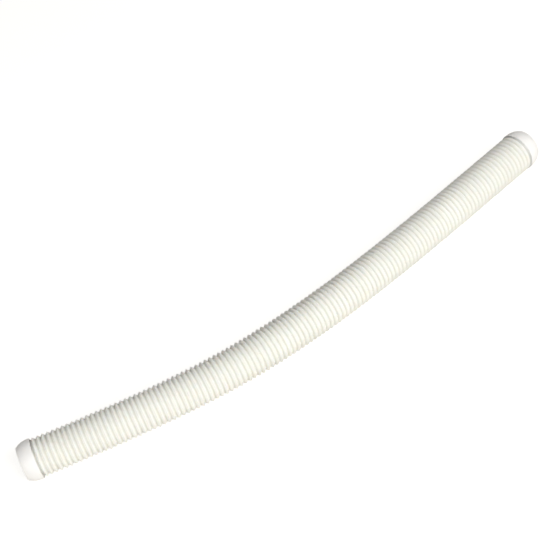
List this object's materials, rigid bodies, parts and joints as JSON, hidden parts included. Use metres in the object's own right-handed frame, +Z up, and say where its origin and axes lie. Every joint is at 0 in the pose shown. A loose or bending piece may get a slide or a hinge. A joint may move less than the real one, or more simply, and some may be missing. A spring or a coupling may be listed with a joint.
{
  "type": "pool vacuum hose",
  "caption": "Corrugated flexible suction hose lying in a gentle bend, with round-nosed push-on cuffs; one cuff swivels about the hose's end.",
  "frame": {"origin": "centre of the bounding box, on the floor the hose lies on", "axes": "+Z up, +X along the straight line between the hose's ends, from the swivel cuff to the fixed cuff; the bend's outer side faces -Y"},
  "size_m": [0.7976, 0.115, 0.0524],
  "materials": {
    "hose_wall": "satin",
    "cuff": "satin",
    "ferrule": "matt",
    "washer": "matt",
    "ring": "brushed",
    "seal": "matt"
  },
  "bodies": {
    "hose": {"hose_body": "hose_wall", "swivel_ferrule": "ferrule", "swivel_thrust_washer": "washer", "swivel_retaining_ring": "ring", "swivel_seal": "seal", "fixed_ferrule": "ferrule", "fixed_cuff": "cuff"},
    "swivel_end": {"swivel_cuff": "cuff"}
  },
  "joints": [
    {"name": "cuff_swivel", "type": "hinge", "parent": "hose", "child": "swivel_end", "pos_m": [-0.3736, 0.0266, 0.0262], "axis": [-0.9574, 0.2888, 0], "continuous": true}
  ]
}
